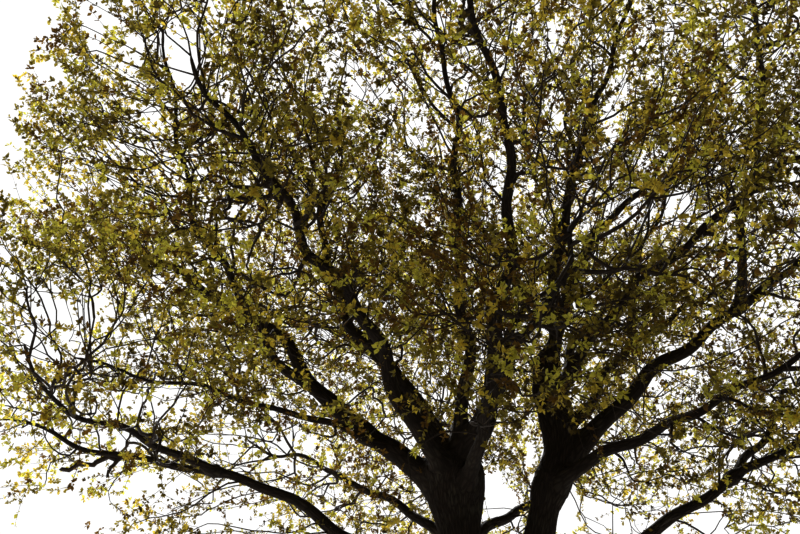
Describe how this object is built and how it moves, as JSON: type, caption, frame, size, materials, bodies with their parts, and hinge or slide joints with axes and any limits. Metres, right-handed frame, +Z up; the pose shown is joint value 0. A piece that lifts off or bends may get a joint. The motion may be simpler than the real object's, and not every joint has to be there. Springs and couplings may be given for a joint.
{
  "type": "oak tree",
  "caption": "Broad open-grown oak in young spring leaf: a short trunk forks low into stems with long crooked boughs and open masses of leafy twigs.",
  "frame": {"origin": "middle of the flat cut under the trunk, at ground level", "axes": "+Z up along the trunk, +Y away from the picture's viewpoint, +X to the viewer's right"},
  "size_m": [19.5185, 19.4549, 16.1493],
  "materials": {
    "bark": "deeply furrowed grey-brown bark, nearly black against the light",
    "leaf": "young leaves lit from behind, yellow-green to olive and bronze"
  },
  "bodies": {
    "root": {"trunk": "bark", "stem_left": "bark", "stem_right": "bark", "bough_back_high": "bark", "bough_back_left": "bark", "bough_back_middle": "bark", "bough_back_right": "bark", "bough_behind_right": "bark", "bough_centre_front": "bark", "bough_crossing": "bark", "bough_front_left": "bark", "bough_inner_left": "bark", "bough_level_left": "bark", "bough_long_arch": "bark", "bough_low_front": "bark", "bough_low_left": "bark", "bough_low_left_fork": "bark", "bough_low_right": "bark", "bough_low_right_fork": "bark", "bough_outer_top": "bark", "bough_right_front": "bark", "bough_right_inner": "bark", "bough_right_leader": "bark", "bough_right_level": "bark", "bough_right_middle": "bark", "bough_right_rising": "bark", "bough_right_strong": "bark", "bough_right_upright": "bark", "bough_rising_left": "bark", "bough_shy_left": "bark", "bough_tall_front": "bark", "leaves_back_high": "leaf", "leaves_back_left": "leaf", "leaves_back_middle": "leaf", "leaves_back_right": "leaf", "leaves_behind_right": "leaf", "leaves_centre_front": "leaf", "leaves_crossing": "leaf", "leaves_front_left": "leaf", "leaves_inner_left": "leaf", "leaves_level_left": "leaf", "leaves_long_arch": "leaf", "leaves_low_front": "leaf", "leaves_low_left": "leaf", "leaves_low_left_fork": "leaf", "leaves_low_right": "leaf", "leaves_low_right_fork": "leaf", "leaves_outer_top": "leaf", "leaves_right_front": "leaf", "leaves_right_inner": "leaf", "leaves_right_leader": "leaf", "leaves_right_level": "leaf", "leaves_right_middle": "leaf", "leaves_right_rising": "leaf", "leaves_right_strong": "leaf", "leaves_right_upright": "leaf", "leaves_rising_left": "leaf", "leaves_shy_left": "leaf", "leaves_tall_front": "leaf"}
  },
  "joints": []
}
